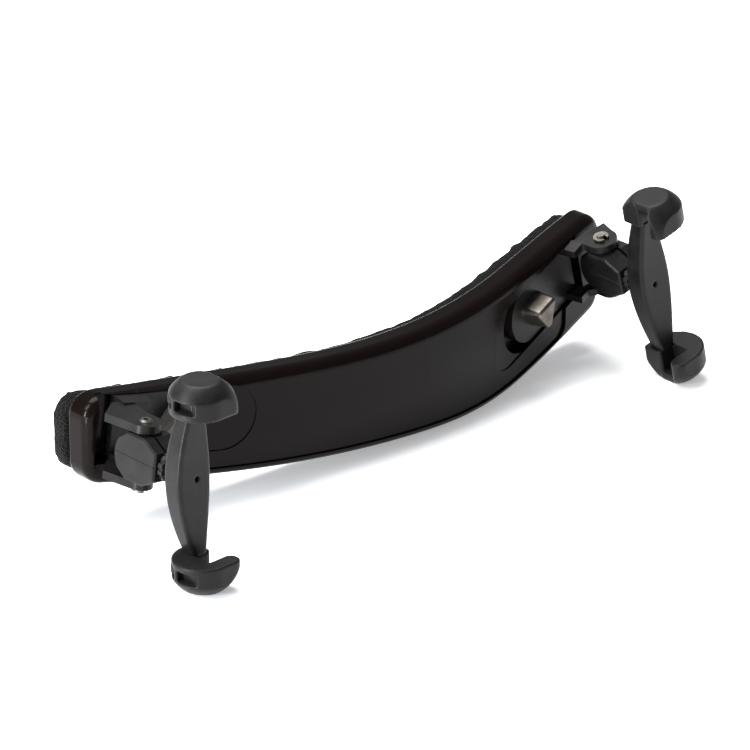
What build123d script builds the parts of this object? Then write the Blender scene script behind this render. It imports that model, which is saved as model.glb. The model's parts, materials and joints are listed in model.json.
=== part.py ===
from build123d import *
from collections import namedtuple
from math import sin, cos, radians
import os

# Violin shoulder rest, all sizes in millimetres.
# It stands on its long edge: +Z is up across the bar's width, +X runs along the bar from the chest
# end ("near") to the shoulder end ("far"), and -Y is the side that faces the violin.

# Bar: a straight run, two tangent arcs that tighten towards the far end, and a straight run
BAR_START = (-115.6, 22.17)
BAR_HEADING = -13.5
NEAR_RUN = 58.02
ARC_SLOW = (374.0, 11.5)
ARC_TIGHT = (172.0, 14.0)
FAR_RUN = 52.0
BAR_THICK = 9.0
BAR_LOWER_EDGE = [(-116.6, 19.6), (-80.6, 12.3), (-33.6, 5.7), (13.4, 1.7), (39.4, 1.4), (67.4, 5.2), (111.4, 16.0)]
BAR_UPPER_EDGE = [(111.4, 46.0), (89.4, 44.5), (46.4, 38.9), (1.4, 35.9), (-43.6, 38.8), (-88.6, 42.5), (-116.6, 45.6)]
BAR_ENDS = (-102.9, 100.7)
END_CORNER_R = 7.0
FRONT_EDGE_R = 3.5
BACK_EDGE_R = 1.5
RECESS_DEPTH = 0.8
RECESS_UPPER_EDGE = [(111.4, 33.0), (71.4, 29.8), (23.4, 30.9), (-10.6, 32.6), (-76.6, 37.3), (-116.6, 41.0)]
RECESS_LOW_RIM = 2.6
RECESS_ENDS = (-88.6, 81.4)
RECESS_CORNER_R = 5.0

# Foam pad behind the bar: it hangs a little lower in the middle, where the rest touches the table
FOAM_THICK = 6.5
FOAM_GAP = 0.05
FOAM_LOWER_EDGE = [(-116.6, 21.2), (-80.6, 13.4), (-33.6, 5.4), (13.4, 0.47), (34.4, 0.17), (67.4, 5.0), (111.4, 17.4)]
FOAM_UPPER_EDGE = [(111.4, 42.8), (89.4, 41.4), (46.4, 36.0), (1.4, 33.1), (-43.6, 36.0), (-88.6, 39.7), (-116.6, 42.8)]
FOAM_ENDS = (-103.2, 100)

# The two ends. side is +1 where the foot's own z points up and -1 where the same foot is turned over;
# turn is the angle from the post to the bar's square; tilt tips the pin and the slide, lean the yoke
# about its post; yoke_at is how far the post holds the yoke from the pin; arm is the distance from the
# pin to the bar's face; the other lengths run inwards along the slide from the pin
End = namedtuple("End", "name side pin turn tilt lean yoke_at arm plate pocket deep_end clamp travel")
NEAR = End("near", 1, (-98.6, -0.2, 32.5), -13.5, 8.0, 0.0, 21.0, 17.8, (0.2, 25.6), (-5.4, 47.7), 31.0,
           19.5, (-2.4, 5.0))
FAR = End("far", -1, (92.3, 0.7, 32.6), 12.0, 16.0, 13.0, 18.4, 8.85, (4.0, 38.6), (2.1, 53.1), 44.0,
          27.5, (-1.5, 5.0))

# Pocket in the bar and the carriage that slides in it
POCKET_HALF = 10.3
SHALLOW = 1.2
DEEP = 4.6
SLOT_HALF = 2.2
NUT_TRACK_HALF = 4.2
NUT_TRACK_DEPTH = 2.3
SIDE_GAP = 0.35
PLATE_THICK = 2.7
EAR_INNER = 7.6
EAR_THICK = 2.4
EAR_REACH = {1: 4.9, -1: 3.7}
EAR_ROOT = 9.0

# Hinge between the carriage and the pivot block
PIN_R = 1.3
PIN_HEAD_R = 2.0
PIN_HEAD_SINK = 0.9
PIN_HEAD_RISE = 0.6
PIN_TAIL = 1.7
CLIP_THICK = 0.6
CLIP_R = 2.4
CLIP_GROOVE_R = 0.95
WASHER_THICK = 0.4
WASHER_R = 4.2
RUN_GAP = 0.06

# Pivot block: length from nose to front, with two moulded layers across its width
BLOCK_HALF_H = 7.1
BLOCK_NOSE = 6.6
BLOCK_FRONT = 10.8
BLOCK_HALF_W = 5.4
BLOCK_SKIN = 3.6
GROOVE_WIDE = 0.9
GROOVE_DEEP = 1.1
BLOCK_EDGE_R = 0.5

# Threaded post with its brass insert and lock nut
POST_R = 2.5
POST_START = 2.6
INSERT_R = 3.6
INSERT_START = 3.2
INSERT_END = 10.4
NUT_R = 4.5
NUT_START = 11.1
NUT_THICK = 1.7
NUT_FLUTES = 12

# Yoke: its inner edge is straighter than its outer edge
YOKE_BODY_HALF = 23.5
YOKE_BOW = 1.4
YOKE_FRONT = 3.4
YOKE_BACK = 3.4
YOKE_NECK_BACK = 1.8
YOKE_OUTER_W = (2.7, 5.6, 6.8)
YOKE_INNER_W = (2.4, 4.4, 5.4)
YOKE_EDGE_R = 1.1
HUB_R = 4.3
HUB_BACK = 5.4
HUB_BORE_END = 0.5
EYE_R = 0.8
TONGUE_HALF_W = 2.6
TONGUE_HALF_T = 1.7
TONGUE_TOP = 29.2
FINGER_OUT = 7.6
FINGER_THICK = 1.6
FINGER_LEN = 9.0
FINGER_MID = 26.6
FINGER_HALF_H = 1.5

# Rubber claws, drawn in plan: the gap between jaw and lip takes the violin's edge. Each is a half
# round cup whose outer side is part of a ball
CLAW_TOP = 32.5
CLAW_H = 9.6
CLAW_CAP = 2.4
CLAW_BACK = 3.9
CLAW_FRONT = 14.0
CLAW_SPINE = 10.1
CLAW_BEND = 1.0
JAW_TIP = 3.6
LIP_TIP = 6.4
LIP_R = 2.4
JAW_R = 0.8
JAW_FACE = 3.2
LIP_FACE = 8.8
GAP_FLOOR = 2.2
CLAW_BALL = (-0.8, -5.0, 23.5)
CLAW_BALL_R = 10.6
WINDOW_HALF_H = 1.7
WINDOWS = [(-10.4, -3.6), (-2.2, 1.4)]

# Thumb screw and its nut
SCREW_R = 2.0
KNOB_HUB_R = 3.4
KNOB_LOBE_R = 2.0
KNOB_REACH = 4.0
KNOB_TALL = 6.4
KNOB_LOBES = 3
CLAMP_NUT_HALF = 3.9
CLAMP_NUT_THICK = 1.8

os.makedirs("parts", exist_ok=True)


def end_frame(end, tip):
    """Frame at the hinge pin: x towards the bar's middle, y towards the foam, z tipped by tip."""
    t = radians(tip)
    return Plane(origin=end.pin, x_dir=(end.side * cos(t), 0, -sin(t)), z_dir=(sin(t), 0, end.side * cos(t)))


def shifted(frame, x=0.0, y=0.0, z=0.0):
    """The frame moved along its own axes."""
    spot = frame.from_local_coords(Vector(x, y, z))
    return Plane(origin=spot, x_dir=frame.x_dir, z_dir=frame.z_dir)


def front_view(frame):
    """Sketch plane seen from the violin: x is the frame's x, y is the frame's z."""
    return Plane(origin=frame.origin, x_dir=frame.x_dir, z_dir=-frame.y_dir)


def side_view(frame):
    """Sketch plane across the frame: x runs towards the violin, y is the frame's z."""
    return Plane(origin=frame.origin, x_dir=-frame.y_dir, z_dir=-frame.x_dir)


def pin_frame(end):
    return end_frame(end, end.tilt)


def slide_frame(end):
    return pin_frame(end).rotated((0, 0, end.turn))


def yoke_frame(end):
    return shifted(end_frame(end, end.lean), y=-end.yoke_at)


def save(builder, name):
    builder.part.label = name
    export_step(builder.part, f"parts/{name}.step")


def bar_line(shift):
    """Plan curve of the bar, moved towards the foam side by shift."""
    h = radians(BAR_HEADING)
    start = Vector(BAR_START[0] - shift * sin(h), BAR_START[1] + shift * cos(h))
    near = Line(start, start + Vector(cos(h), sin(h)) * NEAR_RUN)
    slow = JernArc(near @ 1, near % 1, ARC_SLOW[0] - shift, ARC_SLOW[1])
    tight = JernArc(slow @ 1, slow % 1, ARC_TIGHT[0] - shift, ARC_TIGHT[1])
    Line(tight @ 1, tight @ 1 + (tight % 1) * FAR_RUN)


def curved_slab(thick, shift, lower, upper, ends, corner):
    """A slab bent along the bar's plan curve and cut to its outline as seen from the violin."""
    with BuildPart() as slab:
        with BuildSketch():
            with BuildLine():
                bar_line(shift + thick / 2)
            trace(line_width=thick)
        extrude(amount=60, both=True)
        with BuildSketch(Plane.XZ) as face:
            with BuildLine():
                low = Spline(*lower)
                high = Spline(*upper)
                Line(low @ 1, high @ 0)
                Line(high @ 1, low @ 0)
            make_face()
            with Locations(((ends[0] + ends[1]) / 2, 0)):
                Rectangle(ends[1] - ends[0], 200, mode=Mode.INTERSECT)
            fillet(face.vertices(), corner)
        extrude(amount=60, both=True, mode=Mode.INTERSECT)
    return slab


def rim_edges(slab, towards):
    """Edges all round the slab's violin side (-1) or foam side (+1)."""
    broad = [f for f in slab.faces() if f.normal_at().Y * towards > 0.8 and abs(f.normal_at().Z) < 0.05]
    rim = []
    for face in broad:
        others = [e for f in broad if f is not face for e in f.edges()]
        rim += [e for e in face.edges() if not any((e @ 0.5 - o @ 0.5).length < 0.01 for o in others)]
    return ShapeList(rim)


def pocket_cut(end, last, depth):
    """The pocket seen from the violin: square outer end, round inner end."""
    half, first = POCKET_HALF, end.pocket[0]
    with BuildPart() as cut:
        with BuildSketch(front_view(shifted(slide_frame(end), y=end.arm + depth))):
            with Locations(((first + last - half) / 2, 0)):
                Rectangle(last - half - first, 2 * half)
            with Locations((last - half, 0)):
                Circle(half)
        extrude(amount=depth + FRONT_EDGE_R)
    return cut


def screw_slot(end):
    """Slot for the thumb screw through the pocket floor, with the nut's track behind it."""
    low, high = end.clamp + end.travel[0], end.clamp + end.travel[1]
    floor = shifted(slide_frame(end), x=(low + high) / 2, y=end.arm)
    with BuildPart() as cut:
        with BuildSketch(front_view(shifted(floor, y=BAR_THICK + 1))):
            SlotOverall(high - low + 2 * SLOT_HALF + SIDE_GAP, 2 * SLOT_HALF)
        extrude(amount=BAR_THICK)
        with BuildSketch(front_view(shifted(floor, y=BAR_THICK + 1))):
            Rectangle(high - low + 2 * NUT_TRACK_HALF, 2 * NUT_TRACK_HALF)
        extrude(amount=NUT_TRACK_DEPTH + 1)
    return cut


def make_bar():
    recess_floor = [(x, z + RECESS_LOW_RIM) for x, z in BAR_LOWER_EDGE]
    recess = curved_slab(2 * RECESS_DEPTH, -RECESS_DEPTH, recess_floor, RECESS_UPPER_EDGE, RECESS_ENDS,
                         RECESS_CORNER_R)
    blank = curved_slab(BAR_THICK, 0, BAR_LOWER_EDGE, BAR_UPPER_EDGE, BAR_ENDS, END_CORNER_R)
    with BuildPart() as bar:
        add(blank.part)
        fillet(rim_edges(bar, -1), FRONT_EDGE_R)
        fillet(rim_edges(bar, 1), BACK_EDGE_R)
        add(recess.part, mode=Mode.SUBTRACT)
        for end in (NEAR, FAR):
            add(pocket_cut(end, end.pocket[1], SHALLOW).part, mode=Mode.SUBTRACT)
            add(pocket_cut(end, end.deep_end, DEEP).part, mode=Mode.SUBTRACT)
            add(screw_slot(end).part, mode=Mode.SUBTRACT)
    return bar


def make_foam():
    return curved_slab(FOAM_THICK, BAR_THICK + FOAM_GAP, FOAM_LOWER_EDGE, FOAM_UPPER_EDGE, FOAM_ENDS,
                       END_CORNER_R)


def make_carriage(end):
    """Plate that slides in the pocket, with two ears that reach out to the hinge pin."""
    slide, hinge = slide_frame(end), pin_frame(end)
    half = POCKET_HALF - SIDE_GAP
    plate_back = end.arm + DEEP - SIDE_GAP
    with BuildPart() as carriage:
        with BuildSketch(front_view(shifted(slide, y=plate_back))):
            with Locations(((end.plate[0] + end.plate[1] - half) / 2, 0)):
                Rectangle(end.plate[1] - half - end.plate[0], 2 * half)
            with Locations((end.plate[1] - half, 0)):
                Circle(half)
        extrude(amount=PLATE_THICK)
        for bottom, reach in ((EAR_INNER, EAR_REACH[end.side]), (-EAR_INNER - EAR_THICK, EAR_REACH[-end.side])):
            with BuildSketch(shifted(hinge, z=bottom)):
                with BuildLine():
                    nose = ThreePointArc((reach, 0), (0, -reach), (-reach, 0))
                    Polyline(nose @ 1, (-reach - 1.6, 0.58 * end.arm), (end.plate[0] + 1, end.arm - 1.6),
                             (EAR_ROOT - 1.5, end.arm - 3.2), (reach, 0.3 * end.arm), nose @ 0)
                make_face()
            extrude(amount=EAR_THICK)
            with BuildSketch(shifted(slide, z=bottom)):
                with Locations(((end.plate[0] + EAR_ROOT) / 2, (end.arm - 4 + plate_back) / 2)):
                    Rectangle(EAR_ROOT - end.plate[0], plate_back - end.arm + 4)
            extrude(amount=EAR_THICK)
        with Locations(shifted(hinge, z=EAR_INNER + EAR_THICK)):
            CounterBoreHole(PIN_R + RUN_GAP / 2, PIN_HEAD_R + RUN_GAP, PIN_HEAD_SINK, depth=40)
        with Locations(front_view(shifted(slide, x=end.clamp, y=plate_back - PLATE_THICK))):
            Hole(SCREW_R + 0.2, depth=2 * PLATE_THICK)
    return carriage


def make_pin(end):
    """Hinge pin: sunk head with a drive recess, plain shank, and a groove for its clip."""
    top = EAR_INNER + EAR_THICK
    groove = -top - SIDE_GAP
    with BuildPart() as pin:
        with BuildSketch(side_view(pin_frame(end))):
            with BuildLine():
                Polyline((0, top + PIN_HEAD_RISE), (PIN_HEAD_R - 0.5, top + PIN_HEAD_RISE),
                         (PIN_HEAD_R, top + PIN_HEAD_RISE - 0.5), (PIN_HEAD_R, top - PIN_HEAD_SINK),
                         (PIN_R, top - PIN_HEAD_SINK), (PIN_R, groove), (CLIP_GROOVE_R, groove),
                         (CLIP_GROOVE_R, groove - CLIP_THICK - 0.1), (PIN_R, groove - CLIP_THICK - 0.1),
                         (PIN_R, -top - PIN_TAIL), (0, -top - PIN_TAIL), close=True)
            make_face()
        revolve(axis=Axis(end.pin, pin_frame(end).z_dir))
        with BuildSketch(shifted(pin_frame(end), z=top + PIN_HEAD_RISE)):
            RegularPolygon(0.9, 6)
        extrude(amount=-0.9, mode=Mode.SUBTRACT)
    return pin


def make_clip(end):
    """Open retaining clip pressed into the pin's groove."""
    low = -EAR_INNER - EAR_THICK - SIDE_GAP - CLIP_THICK - 0.05
    with BuildPart() as clip:
        with BuildSketch(shifted(pin_frame(end), z=low)):
            Circle(CLIP_R)
            Circle(CLIP_GROOVE_R, mode=Mode.SUBTRACT)
            with Locations((0, -CLIP_R)):
                Rectangle(2 * CLIP_GROOVE_R - 0.4, 2 * CLIP_R, mode=Mode.SUBTRACT)
        extrude(amount=CLIP_THICK)
    return clip


def make_washers(end):
    """Two thin friction washers between the ears and the pivot block."""
    with BuildPart() as washers:
        for low in (BLOCK_HALF_H + 0.05, -BLOCK_HALF_H - 0.05 - WASHER_THICK):
            with BuildSketch(shifted(pin_frame(end), z=low)):
                Circle(WASHER_R)
                Circle(PIN_R + RUN_GAP, mode=Mode.SUBTRACT)
            extrude(amount=WASHER_THICK)
    return washers


def block_profile():
    """Side view of the pivot block: round nose, long flats, chamfered front."""
    with BuildSketch() as profile:
        with BuildLine():
            nose = ThreePointArc((-BLOCK_NOSE + 1.4, -4.6), (-BLOCK_NOSE, 0), (-BLOCK_NOSE + 1.4, 4.6))
            Polyline(nose @ 1, (-1.8, BLOCK_HALF_H), (5.8, BLOCK_HALF_H), (BLOCK_FRONT, 4.2),
                     (BLOCK_FRONT, -4.2), (5.8, -BLOCK_HALF_H), (-1.8, -BLOCK_HALF_H), nose @ 0)
        make_face()
    return profile.sketch


def make_block(end):
    """Pivot block that turns on the pin and carries the threaded insert."""
    frame = pin_frame(end)
    with BuildPart() as block:
        with BuildSketch(side_view(shifted(frame, x=BLOCK_HALF_W))):
            add(block_profile())
        extrude(amount=2 * BLOCK_HALF_W)
        sides = faces().filter_by(lambda f: abs(f.normal_at().dot(frame.x_dir)) > 0.99)
        chamfer(sides.edges(), BLOCK_EDGE_R)
        with BuildSketch(side_view(shifted(frame, x=BLOCK_SKIN - BLOCK_HALF_W + GROOVE_WIDE))):
            add(block_profile())
            offset(amount=-GROOVE_DEEP, mode=Mode.SUBTRACT)
        extrude(amount=GROOVE_WIDE, mode=Mode.SUBTRACT)
        with Locations(shifted(frame, z=BLOCK_HALF_H)):
            Hole(PIN_R + RUN_GAP, depth=2 * BLOCK_HALF_H)
        with Locations(front_view(shifted(frame, y=-BLOCK_FRONT))):
            CounterBoreHole(POST_R + 0.2, INSERT_R, BLOCK_FRONT - INSERT_START, depth=BLOCK_FRONT - PIN_R - 0.6)
    return block


def tube(frame, start, stop, outer, inner):
    """Round sleeve along the post, from start to stop in front of the pin."""
    with BuildPart() as sleeve:
        with BuildSketch(front_view(shifted(frame, y=-start))):
            Circle(outer)
            if inner:
                Circle(inner, mode=Mode.SUBTRACT)
        extrude(amount=stop - start)
    return sleeve


def make_lock_nut(end):
    frame = front_view(shifted(pin_frame(end), y=-NUT_START))
    with BuildPart() as nut:
        with BuildSketch(frame):
            Circle(NUT_R)
            with PolarLocations(NUT_R, NUT_FLUTES):
                Circle(0.5, mode=Mode.SUBTRACT)
            Circle(POST_R + RUN_GAP, mode=Mode.SUBTRACT)
        extrude(amount=NUT_THICK)
    return nut


def leaf_edge(widths, way):
    """Points of one edge of the leaf, from its neck to its middle and back."""
    neck, shoulder, middle = widths
    heights = (-YOKE_BODY_HALF, -0.5 * YOKE_BODY_HALF, 0, 0.5 * YOKE_BODY_HALF, YOKE_BODY_HALF)
    return [(way * w, z) for w, z in zip((neck, shoulder, middle, shoulder, neck), heights)]


def make_yoke(end):
    """Leaf-shaped fork plate, bowed towards the bar, whose tips run on inside the claws."""
    frame = yoke_frame(end)
    reach = YOKE_BODY_HALF
    with BuildPart() as yoke:
        with BuildSketch(side_view(shifted(frame, x=2 * YOKE_OUTER_W[2]))):
            with BuildLine():
                front = ThreePointArc((YOKE_FRONT, -reach), (YOKE_FRONT - YOKE_BOW, 0), (YOKE_FRONT, reach))
                back = ThreePointArc((-YOKE_NECK_BACK, reach), (-YOKE_BACK - YOKE_BOW, 0), (-YOKE_NECK_BACK, -reach))
                Line(front @ 1, back @ 0)
                Line(back @ 1, front @ 0)
            make_face()
        extrude(amount=4 * YOKE_OUTER_W[2])
        with BuildSketch(front_view(shifted(frame, y=3 * YOKE_BACK))):
            with BuildLine():
                inner = Spline(*leaf_edge(YOKE_INNER_W, 1))
                outer = Spline(*leaf_edge(YOKE_OUTER_W, -1))
                Line(inner @ 1, outer @ 1)
                Line(outer @ 0, inner @ 0)
            make_face()
        extrude(amount=6 * YOKE_BACK, mode=Mode.INTERSECT)
        fillet(edges().filter_by(lambda e: e.length > 1.5 * reach), YOKE_EDGE_R)
        with BuildSketch(front_view(shifted(frame, y=HUB_BACK))):
            Circle(HUB_R)
        extrude(amount=HUB_BACK - 1)
        with Locations(shifted(frame)):
            Box(2 * TONGUE_HALF_W, 2 * TONGUE_HALF_T, 2 * TONGUE_TOP)
        for way in (1, -1):
            with Locations(shifted(frame, z=way * FINGER_MID)):
                with Locations((-FINGER_OUT / 2, 0, 0)):
                    Box(FINGER_OUT, 2 * TONGUE_HALF_T, 2 * FINGER_HALF_H)
                with Locations((-FINGER_OUT + FINGER_THICK / 2, -FINGER_LEN / 2, 0)):
                    Box(FINGER_THICK, FINGER_LEN, 2 * FINGER_HALF_H)
        with BuildSketch(front_view(shifted(frame, y=HUB_BACK))):
            Circle(POST_R)
        extrude(amount=HUB_BACK - HUB_BORE_END, mode=Mode.SUBTRACT)
        with BuildSketch(front_view(shifted(frame, y=HUB_BACK))):
            Circle(EYE_R)
        extrude(amount=2 * HUB_BACK, mode=Mode.SUBTRACT)
    return yoke


def make_claw(end, way, core):
    """Rubber hook over one tip of the yoke; way is +1 on the frame's z side."""
    base = CLAW_TOP - CLAW_H if way > 0 else -CLAW_TOP
    frame = yoke_frame(end)
    with BuildPart() as claw:
        with BuildSketch(shifted(frame, z=base)) as plan:
            with BuildLine():
                spine = ThreePointArc((-CLAW_BEND, CLAW_BACK), (-CLAW_SPINE, (CLAW_BACK - CLAW_FRONT) / 2),
                                      (-CLAW_BEND, -CLAW_FRONT))
                Polyline(spine @ 1, (LIP_TIP, -CLAW_FRONT), (LIP_TIP, -LIP_FACE), (-GAP_FLOOR, -LIP_FACE),
                         (-GAP_FLOOR, -JAW_FACE), (JAW_TIP, -JAW_FACE), (JAW_TIP, CLAW_BACK), spine @ 0)
            make_face()
            fillet(plan.vertices().filter_by(lambda v: v.X > JAW_TIP + 1), LIP_R)
            fillet(plan.vertices().filter_by(lambda v: JAW_TIP - 1 < v.X < JAW_TIP + 0.1), JAW_R)
        extrude(amount=CLAW_H)
        with Locations(shifted(frame, (JAW_TIP - GAP_FLOOR) / 2, -(JAW_FACE + LIP_FACE) / 2,
                               way * (CLAW_TOP - CLAW_CAP / 2))):
            Box(JAW_TIP + GAP_FLOOR + 1, LIP_FACE - JAW_FACE + 1, CLAW_CAP)
        with Locations(shifted(frame, CLAW_BALL[0], CLAW_BALL[1], way * CLAW_BALL[2])):
            Sphere(CLAW_BALL_R, mode=Mode.INTERSECT)
        for low, high in WINDOWS:
            with Locations(shifted(frame, x=-CLAW_SPINE, y=(low + high) / 2, z=way * FINGER_MID)):
                Box(2 * (CLAW_SPINE - FINGER_OUT), high - low, 2 * WINDOW_HALF_H, mode=Mode.SUBTRACT)
        add(core, mode=Mode.SUBTRACT)
    return claw


def make_thumb_screw(end):
    """Clamp screw with a three-lobed metal knob that bears on the carriage plate."""
    seat = end.arm + DEEP - SIDE_GAP - PLATE_THICK - 0.05
    at = shifted(slide_frame(end), x=end.clamp)
    with BuildPart() as screw:
        with BuildSketch(front_view(shifted(at, y=seat))):
            Circle(KNOB_HUB_R)
            with PolarLocations(KNOB_REACH, KNOB_LOBES, start_angle=90):
                Circle(KNOB_LOBE_R)
            make_hull()
        extrude(amount=KNOB_TALL, taper=8)
        tips = faces().filter_by(lambda f: f.normal_at().dot(at.y_dir) < -0.99)
        chamfer(tips.edges(), 0.7)
        with BuildSketch(front_view(shifted(at, y=end.arm + BAR_THICK - 0.4))):
            Circle(SCREW_R)
        extrude(amount=BAR_THICK - 0.4 + end.arm - seat + 1)
    return screw


def make_clamp_nut(end):
    at = shifted(slide_frame(end), x=end.clamp, y=end.arm + BAR_THICK - 0.35)
    with BuildPart() as nut:
        with BuildSketch(front_view(at)):
            Rectangle(2 * CLAMP_NUT_HALF, 2 * CLAMP_NUT_HALF)
            Circle(SCREW_R + 0.05, mode=Mode.SUBTRACT)
        extrude(amount=CLAMP_NUT_THICK)
    return nut


def make_end(end):
    name = end.name
    frame = pin_frame(end)
    yoke = make_yoke(end)
    save(make_carriage(end), f"{name}_carriage")
    save(make_thumb_screw(end), f"{name}_thumb_screw")
    save(make_clamp_nut(end), f"{name}_clamp_nut")
    save(make_pin(end), f"{name}_hinge_pin")
    save(make_clip(end), f"{name}_pin_clip")
    save(make_washers(end), f"{name}_hinge_washers")
    save(make_block(end), f"{name}_pivot_block")
    save(tube(frame, INSERT_START, INSERT_END, INSERT_R, POST_R + RUN_GAP), f"{name}_thread_insert")
    save(make_lock_nut(end), f"{name}_lock_nut")
    save(tube(frame, POST_START, end.yoke_at - HUB_BORE_END, POST_R, 0), f"{name}_post")
    save(yoke, f"{name}_yoke")
    save(make_claw(end, end.side, yoke.part), f"{name}_upper_claw")
    save(make_claw(end, -end.side, yoke.part), f"{name}_lower_claw")


save(make_bar(), "bar")
save(make_foam(), "foam_pad")
make_end(NEAR)
make_end(FAR)
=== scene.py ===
import json
import math

import bmesh
import bpy
from mathutils import Matrix, Vector, noise


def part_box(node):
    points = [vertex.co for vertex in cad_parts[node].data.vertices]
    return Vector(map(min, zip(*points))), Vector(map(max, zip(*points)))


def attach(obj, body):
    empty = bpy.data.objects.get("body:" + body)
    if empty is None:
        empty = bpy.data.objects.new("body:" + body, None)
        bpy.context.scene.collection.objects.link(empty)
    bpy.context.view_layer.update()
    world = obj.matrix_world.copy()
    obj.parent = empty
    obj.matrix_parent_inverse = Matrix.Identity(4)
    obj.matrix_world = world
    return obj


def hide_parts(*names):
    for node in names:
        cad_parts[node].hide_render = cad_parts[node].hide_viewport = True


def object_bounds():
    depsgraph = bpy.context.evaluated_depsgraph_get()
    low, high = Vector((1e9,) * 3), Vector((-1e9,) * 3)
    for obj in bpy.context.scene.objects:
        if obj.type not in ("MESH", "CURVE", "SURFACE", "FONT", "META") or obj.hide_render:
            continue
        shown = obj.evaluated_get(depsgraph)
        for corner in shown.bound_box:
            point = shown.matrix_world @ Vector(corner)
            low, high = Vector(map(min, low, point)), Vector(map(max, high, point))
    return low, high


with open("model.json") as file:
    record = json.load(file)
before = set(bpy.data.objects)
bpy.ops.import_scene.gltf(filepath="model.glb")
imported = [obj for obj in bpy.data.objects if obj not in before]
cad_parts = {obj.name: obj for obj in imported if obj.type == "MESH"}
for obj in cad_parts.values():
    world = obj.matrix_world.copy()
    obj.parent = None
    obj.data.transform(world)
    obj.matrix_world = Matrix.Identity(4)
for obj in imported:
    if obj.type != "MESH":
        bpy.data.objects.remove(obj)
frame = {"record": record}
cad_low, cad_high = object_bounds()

# Violin shoulder rest, in metres. +X runs along the bar from the chest end ("near") to the shoulder
# end ("far"), -Y faces the violin and +Z is up. The rest stands on its long edge.

MM = 0.001
CAMERA_AT = (-0.9854, -1.0202, 0.6867)
CAMERA_AZIMUTH = -43.8
CAMERA_ELEVATION = 25.0
CAMERA_LENS = 253.3
CAMERA_SENSOR = 36.0
CAMERA_CLIP = (0.05, 20)

# Each end's hinge pin as the CAD has it: place in mm, side (-1 where turned over) and tip in degrees
ENDS = {"near": ((-98.6, -0.2, 32.5), 1, 8.0), "far": ((92.3, 0.7, 32.6), -1, 16.0)}

# The parting line on a pivot block's flanks, in mm: its run, and its section as (out, up) from the flank
BLOCK_HALF_W = 5.4
SEAM_FROM = -10.4
SEAM_TO = 5.9
SEAM_STEPS = 14
SEAM_WAVER = 0.07
SEAM_WAVER_RATE = 2.1
SEAM_SECTION = ((-0.25, -0.32), (0.18, -0.08), (0.18, 0.08), (-0.25, 0.32))

# Mesh sizes of the rebuilt pieces, and how far their edges are eased, in smoothing rounds
CLAW_VOXEL = 0.36 * MM
YOKE_VOXEL = 0.32 * MM
FOAM_VOXEL = 1.3 * MM
EASE = 0.5
CLAW_ROUNDS = 5
YOKE_ROUNDS = 3
FOAM_ROUNDS = 6

# Foam lumps: broad and fine, as (waves per metre, share), and their height
FOAM_BROAD = (90.0, 0.25)
FOAM_FINE = (420.0, 0.32)
FOAM_LUMP = 0.9 * MM

FLOOR_HALF = 2.0
FLOOR_DROP = 0.02 * MM
WARM = (1.0, 0.98, 0.95)
COOL = (0.86, 0.93, 1.0)
MIDDLE = (0, 0, 0.02)


# ---------------------------------------------------------------- materials

def material(name):
    """A new node material with its shader and a node of object coordinates."""
    made = bpy.data.materials.new(name)
    made.use_nodes = True
    nodes = made.node_tree.nodes
    coords = nodes.new("ShaderNodeTexCoord")
    return made, nodes, made.node_tree.links, nodes["Principled BSDF"], coords.outputs["Object"]


def noise_node(nodes, links, where, scale, detail=4.0, roughness=0.55):
    node = nodes.new("ShaderNodeTexNoise")
    node.inputs["Scale"].default_value = scale
    node.inputs["Detail"].default_value = detail
    node.inputs["Roughness"].default_value = roughness
    links.new(where, node.inputs["Vector"])
    return node.outputs["Fac"]


def cells_node(nodes, links, where, scale, feature="F1"):
    node = nodes.new("ShaderNodeTexVoronoi")
    node.feature = feature
    node.inputs["Scale"].default_value = scale
    links.new(where, node.inputs["Vector"])
    return node.outputs["Distance"]


def ramp(nodes, links, fac, stops):
    """Colours blended by a factor; stops are (place, grey or colour)."""
    node = nodes.new("ShaderNodeValToRGB")
    links.new(fac, node.inputs["Fac"])
    marks = node.color_ramp.elements
    while len(marks) < len(stops):
        marks.new(0.5)
    for mark, (place, tone) in zip(marks, stops):
        mark.position = place
        mark.color = (*tone, 1) if isinstance(tone, tuple) else (tone, tone, tone, 1)
    return node.outputs["Color"]


def bump(nodes, links, shader, height, strength, depth, below=None):
    node = nodes.new("ShaderNodeBump")
    node.inputs["Strength"].default_value = strength
    node.inputs["Distance"].default_value = depth
    links.new(height, node.inputs["Height"])
    if below is not None:
        links.new(below, node.inputs["Normal"])
    links.new(node.outputs["Normal"], shader.inputs["Normal"])
    return node.outputs["Normal"]


def stretched(nodes, links, where, scale):
    node = nodes.new("ShaderNodeMapping")
    node.inputs["Scale"].default_value = scale
    links.new(where, node.inputs["Vector"])
    return node.outputs["Vector"]


def bar_plastic():
    """Polished black moulding: faint flow marks, hairline scratches and a few matte handled patches."""
    made, nodes, links, shader, where = material("bar_plastic")
    flow = noise_node(nodes, links, stretched(nodes, links, where, (14, 14, 60)), 1.0, 6.0)
    tone = ramp(nodes, links, flow, [(0.3, (0.0026, 0.0013, 0.0010)), (0.7, (0.0040, 0.0023, 0.0018))])
    links.new(tone, shader.inputs["Base Color"])
    patches = noise_node(nodes, links, where, 55.0, 5.0)
    gloss = ramp(nodes, links, patches, [(0.35, 0.17), (0.7, 0.26)])
    links.new(gloss, shader.inputs["Roughness"])
    shader.inputs["Specular IOR Level"].default_value = 0.075
    hairs = noise_node(nodes, links, stretched(nodes, links, where, (300, 300, 9000)), 1.0, 2.0)
    soft = bump(nodes, links, shader, hairs, 0.05, 0.02 * MM)
    bump(nodes, links, shader, noise_node(nodes, links, where, 1400.0, 2.0), 0.06, 0.03 * MM, soft)
    return made


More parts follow.
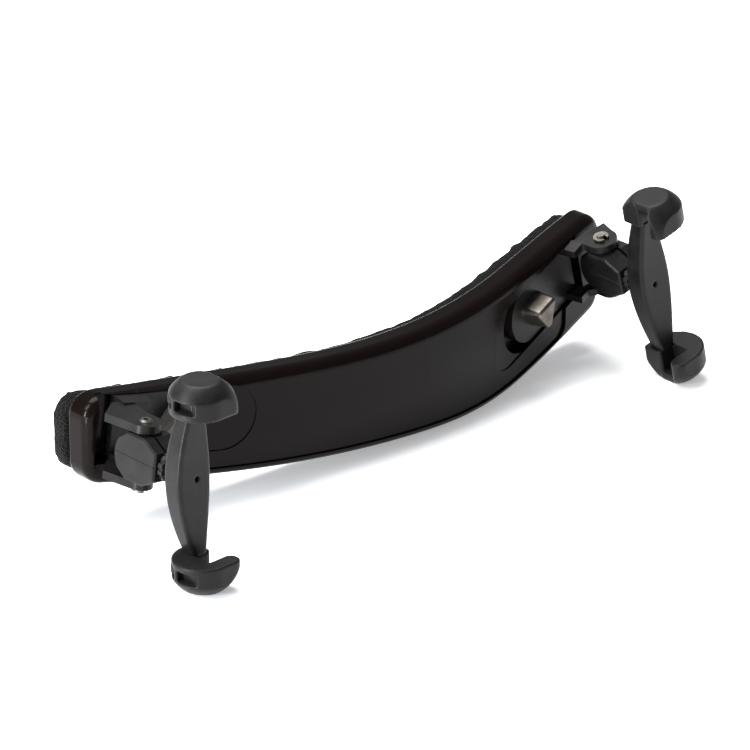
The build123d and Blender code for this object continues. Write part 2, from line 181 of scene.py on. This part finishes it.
def moulded_plastic(name, dark, light, rough, shine, grain):
    """Charcoal glass-filled nylon: spark-eroded grain, cloudy tone and paler rubbed spots."""
    made, nodes, links, shader, where = material(name)
    cloud = noise_node(nodes, links, where, 130.0, 6.0, 0.65)
    speck = noise_node(nodes, links, where, 2600.0, 3.0)
    mix = nodes.new("ShaderNodeMath")
    mix.operation = "MULTIPLY_ADD"
    mix.inputs[1].default_value = 0.35
    links.new(speck, mix.inputs[0])
    links.new(cloud, mix.inputs[2])
    tone = ramp(nodes, links, mix.outputs[0], [(0.45, dark), (0.85, light)])
    links.new(tone, shader.inputs["Base Color"])
    gloss = ramp(nodes, links, cloud, [(0.3, rough - 0.07), (0.75, rough + 0.07)])
    links.new(gloss, shader.inputs["Roughness"])
    shader.inputs["Specular IOR Level"].default_value = shine
    coarse = bump(nodes, links, shader, cells_node(nodes, links, where, 3200.0), 0.35, grain)
    bump(nodes, links, shader, noise_node(nodes, links, where, 6000.0, 2.0), 0.3, 0.5 * grain, coarse)
    return made


def claw_rubber():
    """Soft dark rubber: slight sheen, dusty bloom and a fine stipple."""
    made, nodes, links, shader, where = material("claw_rubber")
    bloom = noise_node(nodes, links, where, 210.0, 6.0, 0.7)
    tone = ramp(nodes, links, bloom, [(0.35, (0.0030, 0.0027, 0.0026)),
                                      (0.72, (0.0075, 0.0069, 0.0066))])
    links.new(tone, shader.inputs["Base Color"])
    links.new(ramp(nodes, links, bloom, [(0.3, 0.40), (0.8, 0.56)]), shader.inputs["Roughness"])
    shader.inputs["Specular IOR Level"].default_value = 0.18
    shader.inputs["Sheen Weight"].default_value = 0.05
    shader.inputs["Sheen Roughness"].default_value = 0.4
    coarse = bump(nodes, links, shader, noise_node(nodes, links, where, 900.0, 4.0), 0.18, 0.06 * MM)
    bump(nodes, links, shader, cells_node(nodes, links, where, 4200.0), 0.2, 0.03 * MM, coarse)
    return made


def foam_cells():
    """Coarse open-cell foam: paler cell walls around sunken pores, with painted shade darkening each
    pore.
    """
    made, nodes, links, shader, where = material("foam")
    pores_and_pore_shade = cells_node(nodes, links, where, 820.0, "DISTANCE_TO_EDGE")
    # Painted shade: the colour darkens from the cell walls into the middle of each pore, where the bump
    # sinks it.
    tone = ramp(nodes, links, pores_and_pore_shade, [(0.02, (0.005, 0.0045, 0.004)), (0.16, (0.0016, 0.0015, 0.0014)),
                                      (0.5, (0.001, 0.001, 0.001))])
    links.new(tone, shader.inputs["Base Color"])
    links.new(ramp(nodes, links, pores_and_pore_shade, [(0.0, 0.78), (0.4, 0.98)]), shader.inputs["Roughness"])
    shader.inputs["Sheen Weight"].default_value = 0.02
    shader.inputs["Specular IOR Level"].default_value = 0.08
    shader.inputs["Sheen Roughness"].default_value = 0.6
    soft = bump(nodes, links, shader, noise_node(nodes, links, where, 260.0, 5.0), 0.5, 0.5 * MM)
    wall = ramp(nodes, links, pores_and_pore_shade, [(0.0, 1.0), (0.2, 0.25), (0.6, 0.0)])
    bump(nodes, links, shader, wall, 0.9, 0.6 * MM, soft)
    return made


def metal(name, dark, light, rough):
    """Turned and plated metal: fine lathe streaks, tarnish clouds and varying gloss."""
    made, nodes, links, shader, where = material(name)
    cloud = noise_node(nodes, links, where, 320.0, 5.0)
    streak = noise_node(nodes, links, stretched(nodes, links, where, (900, 900, 7000)), 1.0, 3.0)
    links.new(ramp(nodes, links, cloud, [(0.3, dark), (0.7, light)]), shader.inputs["Base Color"])
    gloss = ramp(nodes, links, streak, [(0.3, rough), (0.75, rough + 0.16)])
    links.new(gloss, shader.inputs["Roughness"])
    shader.inputs["Metallic"].default_value = 1.0
    bump(nodes, links, shader, streak, 0.12, 0.02 * MM)
    return made


def floor_paper():
    made, nodes, links, shader, where = material("floor_paper")
    fibres = noise_node(nodes, links, where, 40.0, 3.0)
    links.new(ramp(nodes, links, fibres, [(0.3, 0.90), (0.7, 0.92)]), shader.inputs["Base Color"])
    shader.inputs["Roughness"].default_value = 0.9
    shader.inputs["Specular IOR Level"].default_value = 0.1
    shader.inputs["Emission Color"].default_value = (1, 1, 1, 1)
    shader.inputs["Emission Strength"].default_value = 0.32
    return made


looks = {
    "bar_plastic": bar_plastic(),
    "foam": foam_cells(),
    "hinge_plastic": moulded_plastic("hinge_plastic", (0.0036, 0.0033, 0.0032), (0.0110, 0.0102, 0.0099),
                                     0.34, 0.14, 0.05 * MM),
    "washer_plastic": moulded_plastic("washer_plastic", (0.008, 0.008, 0.008), (0.016, 0.016, 0.016),
                                      0.42, 0.2, 0.03 * MM),
    "claw_rubber": claw_rubber(),
    "steel": metal("steel", (0.10, 0.088, 0.074), (0.19, 0.172, 0.15), 0.32),
    "brass": metal("brass", (0.10, 0.085, 0.06), (0.20, 0.165, 0.11), 0.34),
}


# ---------------------------------------------------------------- mesh helpers

def add_object(name, mesh, look, body):
    """Link a mesh as a piece that rides on a body and wears one of the record's slots."""
    piece = bpy.data.objects.new(name, mesh)
    bpy.context.scene.collection.objects.link(piece)
    piece.data.materials.clear()
    piece.data.materials.append(looks[look])
    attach(piece, body)
    return piece


def from_bmesh(name, bm):
    bmesh.ops.recalc_face_normals(bm, faces=bm.faces)
    mesh = bpy.data.meshes.new(name)
    bm.to_mesh(mesh)
    bm.free()
    return mesh


def smooth(mesh):
    mesh.polygons.foreach_set("use_smooth", [True] * len(mesh.polygons))
    mesh.update()


def apply_modifiers(piece):
    """Bake the piece's modifiers into its mesh."""
    graph = bpy.context.evaluated_depsgraph_get()
    baked = bpy.data.meshes.new_from_object(piece.evaluated_get(graph))
    looks_now = list(piece.data.materials)
    piece.modifiers.clear()
    piece.data = baked
    piece.data.materials.clear()
    for look in looks_now:
        piece.data.materials.append(look)


def copy_of(node, name, body, look):
    """A free copy of a CAD node's mesh, to be given its own detail."""
    mesh = bpy.data.objects[node].data.copy()
    mesh.name = name
    return add_object(name, mesh, look, body)


def remesh(piece, voxel, smoothing, rounds):
    """Rebuild the piece as an even mesh and round its edges."""
    grid = piece.modifiers.new("grid", "REMESH")
    grid.mode = "VOXEL"
    grid.voxel_size = voxel
    grid.use_smooth_shade = True
    ease = piece.modifiers.new("ease", "SMOOTH")
    ease.factor = smoothing
    ease.iterations = rounds
    apply_modifiers(piece)
    smooth(piece.data)


# ---------------------------------------------------------------- the CAD pieces' materials

def dress_frame():
    slots = {entry["node"]: entry["material_slot"] for entry in frame["record"]["subparts"]}
    for node, slot_name in slots.items():
        mesh = bpy.data.objects[node].data
        mesh.materials.clear()
        mesh.materials.append(looks[slot_name])


# ---------------------------------------------------------------- foam pad

def make_foam():
    """Crowned foam slab with soft corners and a torn-cell surface."""
    pad = copy_of("foam_pad", "foam_pad_soft", "bar_body", "foam")
    remesh(pad, FOAM_VOXEL, EASE, FOAM_ROUNDS)
    mesh = pad.data
    floor_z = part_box("foam_pad")[0].z
    for vertex in mesh.vertices:
        spot = vertex.co
        lump = sum(noise.noise(spot * waves) * share for waves, share in (FOAM_BROAD, FOAM_FINE))
        vertex.co = spot + vertex.normal * (lump * FOAM_LUMP)
        vertex.co.z = max(vertex.co.z, floor_z)
    mesh.update()
    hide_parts("foam_pad")


# ---------------------------------------------------------------- rubber claws

def make_claws():
    """The CAD's rubber cups with their edges rounded."""
    for end in ("near", "far"):
        for level in ("upper", "lower"):
            node = f"{end}_{level}_claw"
            claw = copy_of(node, f"{node}_rubber", f"{end}_foot_body", "claw_rubber")
            remesh(claw, CLAW_VOXEL, EASE, CLAW_ROUNDS)
            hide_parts(node)


# ---------------------------------------------------------------- pivot blocks and yokes

def end_matrix(pin, side, tip):
    """Frame at a hinge pin, as the CAD builds it: x towards the bar's middle, z tipped by tip."""
    turn = Matrix.Rotation(math.radians(tip if side > 0 else 180 - tip), 4, "Y")
    return Matrix.Translation(Vector(pin) * MM) @ turn


def make_seams():
    """Raised parting line along the outer flank of each pivot block."""
    for end, (pin, side, tip) in ENDS.items():
        at = end_matrix(pin, side, tip)
        bm = bmesh.new()
        for flank in (-1, 1):
            rings = []
            for step in range(SEAM_STEPS + 1):
                y = SEAM_FROM + (SEAM_TO - SEAM_FROM) * step / SEAM_STEPS
                waver = SEAM_WAVER * math.sin(SEAM_WAVER_RATE * step)
                ring = []
                for out, up in SEAM_SECTION:
                    spot = Vector((flank * (BLOCK_HALF_W + out), y, up + waver)) * MM
                    ring.append(bm.verts.new(at @ spot))
                rings.append(ring)
            for one, two in zip(rings, rings[1:]):
                for k in range(len(one)):
                    after = (k + 1) % len(one)
                    bm.faces.new((one[k], one[after], two[after], two[k]))
            bm.faces.new(rings[0])
            bm.faces.new(rings[-1][::-1])
        name = f"{end}_block_seam"
        seam = add_object(name, from_bmesh(name, bm), "hinge_plastic", f"{end}_pivot_body")
        smooth(seam.data)


def make_yokes():
    """The forked feet with their mould-rounded edges."""
    for end in ("near", "far"):
        fork = copy_of(f"{end}_yoke", f"{end}_yoke_moulded", f"{end}_foot_body", "hinge_plastic")
        remesh(fork, YOKE_VOXEL, EASE, YOKE_ROUNDS)
        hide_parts(f"{end}_yoke")


# ---------------------------------------------------------------- stage

def make_stage():
    """White paper floor just under the rest."""
    sheet = bmesh.new()
    bmesh.ops.create_grid(sheet, x_segments=1, y_segments=1, size=FLOOR_HALF)
    ground = bpy.data.objects.new("floor", from_bmesh("floor", sheet))
    bpy.context.scene.collection.objects.link(ground)
    ground.location.z = cad_low.z - FLOOR_DROP
    ground.data.materials.append(floor_paper())


def make_camera():
    data = bpy.data.cameras.new("camera")
    data.lens = CAMERA_LENS
    data.sensor_width = CAMERA_SENSOR
    data.clip_start, data.clip_end = CAMERA_CLIP
    camera = bpy.data.objects.new("camera", data)
    camera.location = CAMERA_AT
    camera.rotation_euler = (math.radians(90 - CAMERA_ELEVATION), 0, math.radians(CAMERA_AZIMUTH))
    bpy.context.scene.collection.objects.link(camera)
    bpy.context.scene.camera = camera


def area_light(name, at, aim, size, power, tint=(1, 1, 1)):
    data = bpy.data.lights.new(name, "AREA")
    data.shape = "RECTANGLE"
    data.size, data.size_y = size
    data.energy = power
    data.color = tint
    lamp = bpy.data.objects.new(name, data)
    lamp.location = at
    lamp.rotation_euler = (Vector(aim) - Vector(at)).to_track_quat("-Z", "Y").to_euler()
    bpy.context.scene.collection.objects.link(lamp)


def make_light():
    world = bpy.data.worlds.new("studio")
    world.use_nodes = True
    sky = world.node_tree.nodes["Background"]
    sky.inputs["Color"].default_value = (0.93, 0.96, 1.0, 1)
    sky.inputs["Strength"].default_value = 0.34
    bpy.context.scene.world = world
    area_light("top", (0.0, 0.35, 1.1), MIDDLE, (1.0, 0.7), 26.0)
    area_light("key", (-0.9, 0.3, 0.8), MIDDLE, (0.4, 0.4), 10.0, WARM)
    area_light("left", (-1.1, 0.15, 0.25), (-0.1, 0, 0.03), (0.2, 0.4), 16.0, COOL)
    area_light("glint", (-0.20, -0.005, 0.012), (-0.1, 0.012, 0.03), (0.02, 0.05), 0.10, COOL)
    bpy.context.scene.view_settings.view_transform = "Standard"


dress_frame()
make_foam()
make_claws()
make_yokes()
make_seams()
make_stage()
make_camera()
make_light()
